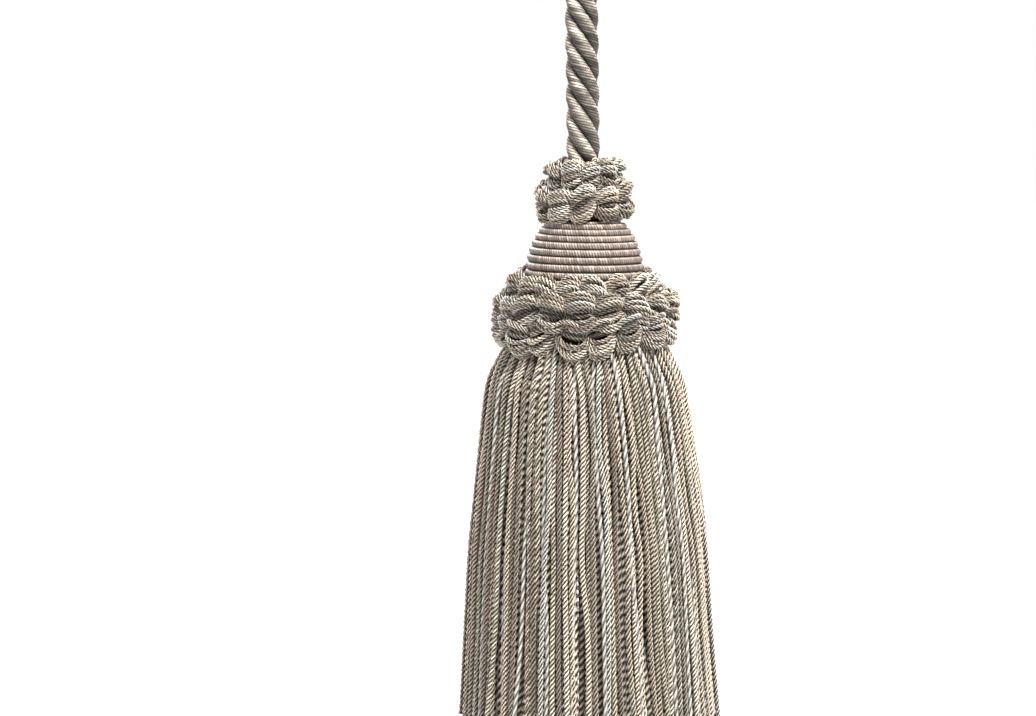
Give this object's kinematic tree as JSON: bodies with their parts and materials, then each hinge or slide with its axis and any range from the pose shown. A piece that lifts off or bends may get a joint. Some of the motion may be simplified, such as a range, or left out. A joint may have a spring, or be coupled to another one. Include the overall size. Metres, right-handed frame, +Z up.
{
  "type": "tieback tassel on its hanging rope",
  "caption": "Hanging tieback tassel: laid rope with a bound eye, looped ruffs, wound dome head and a flaring cut skirt of twisted yarn.",
  "frame": {"origin": "inner side of the crown of the rope's eye, where a hook or pin bears when the tassel hangs", "axes": "+Z up along the rope, +X across the eye, +Y away from the viewer of the picture"},
  "size_m": [0.0994, 0.0994, 0.3989],
  "materials": {
    "rope_yarn": "taupe rope of wrapped strands with a slight sheen",
    "head_yarn": "pinkish beige gimp cord, matt",
    "ruff_yarn": "two-ply yarn in mixed grey, beige and olive",
    "skirt_yarn": "two-ply twisted yarn in mixed silver grey, beige and taupe, slight sheen"
  },
  "bodies": {
    "root": {"rope": "rope_yarn", "rope_whipping": "rope_yarn", "upper_ruff": "ruff_yarn", "head": "head_yarn", "lower_ruff": "ruff_yarn", "skirt": "skirt_yarn"}
  },
  "joints": []
}
